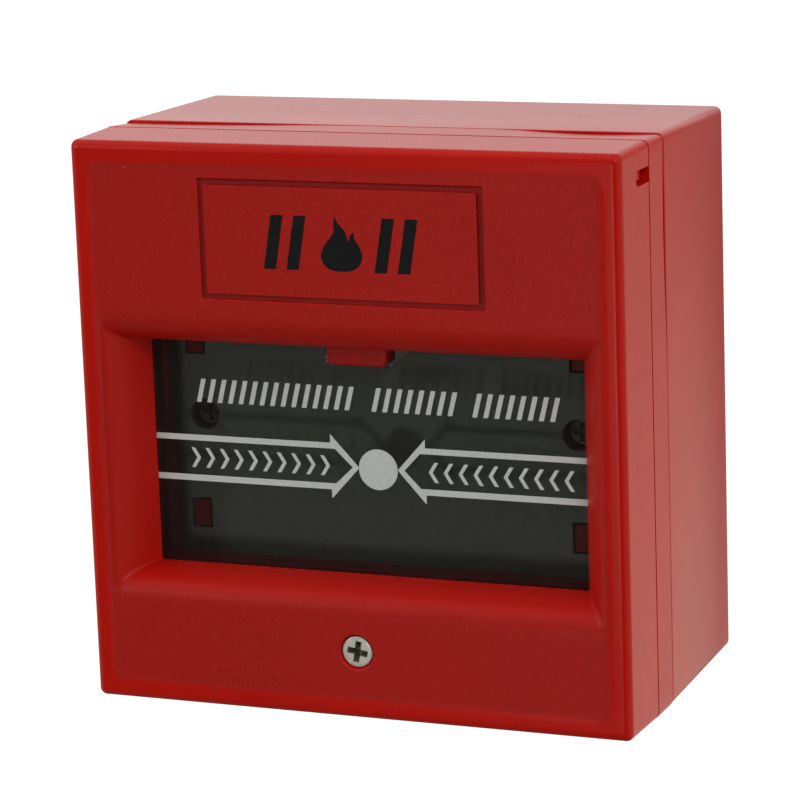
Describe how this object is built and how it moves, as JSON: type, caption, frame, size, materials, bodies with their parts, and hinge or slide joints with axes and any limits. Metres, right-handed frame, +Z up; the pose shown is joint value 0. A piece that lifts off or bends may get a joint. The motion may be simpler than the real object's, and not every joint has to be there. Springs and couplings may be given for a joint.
{
  "type": "manual call point",
  "caption": "Square surface-mounted fire alarm manual call point with a tinted press pane in a scooped window, a screwed cover, a base plate and a back box.",
  "frame": {"origin": "centre of the rear wall face of the back box", "axes": "the front faces -Y, +Y runs into the wall, +Z is up, +X is to the right of someone facing the front"},
  "size_m": [0.086, 0.0503, 0.086],
  "materials": {
    "red_abs_cover": "satin moulded red",
    "red_abs_base": "satin moulded red",
    "red_abs_box": "satin moulded red",
    "tinted_pane": "smoky tint, polished",
    "red_abs_frame": "satin moulded red",
    "black_plate": "satin",
    "plated_steel": "zinc plated",
    "black_steel": "black oxide",
    "spring_steel": "drawn wire and strip",
    "brass": "turned",
    "nylon": "natural",
    "switch_case": "moulded",
    "switch_button": "moulded",
    "terminal_grey": "moulded",
    "rubber": "soft",
    "wire_red": "insulation",
    "wire_black": "insulation"
  },
  "bodies": {
    "housing": {"back_box": "red_abs_box", "base_plate": "red_abs_base", "inner_plate": "black_plate", "cable_grommet": "rubber", "cover_insert": "brass", "box_screw_left": "black_steel", "box_screw_right": "black_steel", "box_insert_left": "brass", "box_insert_right": "brass", "guide_screw_left": "plated_steel", "guide_screw_right": "plated_steel", "frame_spring_left": "spring_steel", "frame_spring_right": "spring_steel", "microswitch_body": "switch_case", "lever_pin": "plated_steel", "terminal_com": "brass", "terminal_no": "brass", "terminal_nc": "brass", "switch_screw_1": "plated_steel", "switch_screw_2": "plated_steel", "switch_nut_1": "plated_steel", "switch_nut_2": "plated_steel", "terminal_block": "terminal_grey", "terminal_clamp_1": "brass", "terminal_clamp_2": "brass", "terminal_clamp_3": "brass", "terminal_clamp_4": "brass", "terminal_screw_1": "plated_steel", "terminal_screw_2": "plated_steel", "terminal_screw_3": "plated_steel", "terminal_screw_4": "plated_steel", "wire_com": "wire_red", "wire_no": "wire_black"},
    "cover": {"front_cover": "red_abs_cover", "screw_retainer": "nylon"},
    "cover_screw": {"cover_screw": "plated_steel"},
    "pane": {"pane_frame": "red_abs_frame", "glass_pane": "tinted_pane"},
    "switch_lever": {"microswitch_lever": "spring_steel"},
    "switch_button": {"microswitch_button": "switch_button"}
  },
  "joints": [
    {"name": "cover_lift_off", "type": "slide", "parent": "housing", "child": "cover", "axis": [0, -1, 0], "range_m": [0, 0.03]},
    {"name": "cover_screw_turn", "type": "hinge", "parent": "cover", "child": "cover_screw", "pos_m": [0.00025, -0.04978, -0.0326], "axis": [0, 1, 0], "continuous": true},
    {"name": "pane_press", "type": "slide", "parent": "housing", "child": "pane", "axis": [0, 1, 0], "range_m": [0, 0.0015], "stiffness_N_per_m": 6000, "springref_m": -0.0015, "deforming": ["frame_spring_left", "frame_spring_right"]},
    {"name": "switch_lever_swing", "type": "hinge", "parent": "housing", "child": "switch_lever", "pos_m": [-0.005, -0.0273, 0.01315], "axis": [0, 0, 1], "range_deg": [0, 5.5]},
    {"name": "switch_button_travel", "type": "slide", "parent": "housing", "child": "switch_button", "axis": [0, 1, 0], "range_m": [0, 0.00076]}
  ],
  "couplings": [
    {"joint": "switch_lever_swing", "follows": "pane_press", "rad_per_m": 61.85},
    {"joint": "switch_button_travel", "follows": "pane_press", "ratio": 0.492}
  ]
}
